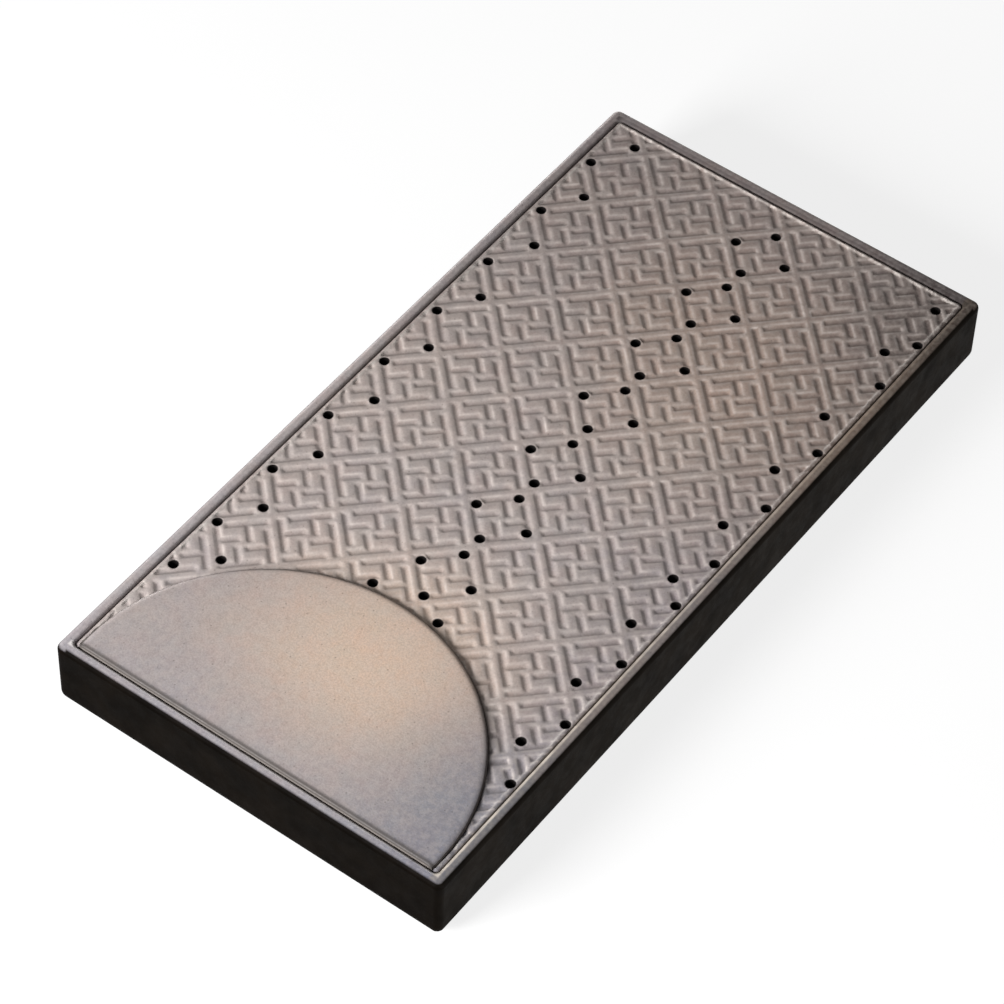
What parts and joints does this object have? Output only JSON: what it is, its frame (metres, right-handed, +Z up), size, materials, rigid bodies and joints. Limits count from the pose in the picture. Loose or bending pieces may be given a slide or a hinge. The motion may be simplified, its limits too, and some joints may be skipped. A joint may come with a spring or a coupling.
{
  "type": "gongfu tea tray",
  "caption": "Shallow rectangular stoneware tea tray: a rimmed box that stores waste water, closed by a lift-out drain plate with key fret relief and a raised half disc",
  "frame": {"origin": "centre of the tray's plan, on the surface that the pads stand on", "axes": "+X along the length, away from the half disc; +Y across the width; +Z up"},
  "size_m": [0.287, 0.144, 0.028],
  "materials": {
    "stoneware": "satin iron glaze, brown-grey with warm and cool sheen",
    "stoneware_plate": "satin iron glaze, paler and worn on the raised parts",
    "pad": "matte silicone"
  },
  "bodies": {
    "base": {"reservoir_base": "stoneware", "pad_rear_left": "pad", "pad_rear_right": "pad", "pad_front_left": "pad", "pad_front_right": "pad"},
    "plate": {"drain_plate": "stoneware_plate"}
  },
  "joints": [
    {"name": "plate_lift", "type": "slide", "parent": "base", "child": "plate", "axis": [0, 0, 1], "range_m": [0, 0.03]}
  ]
}
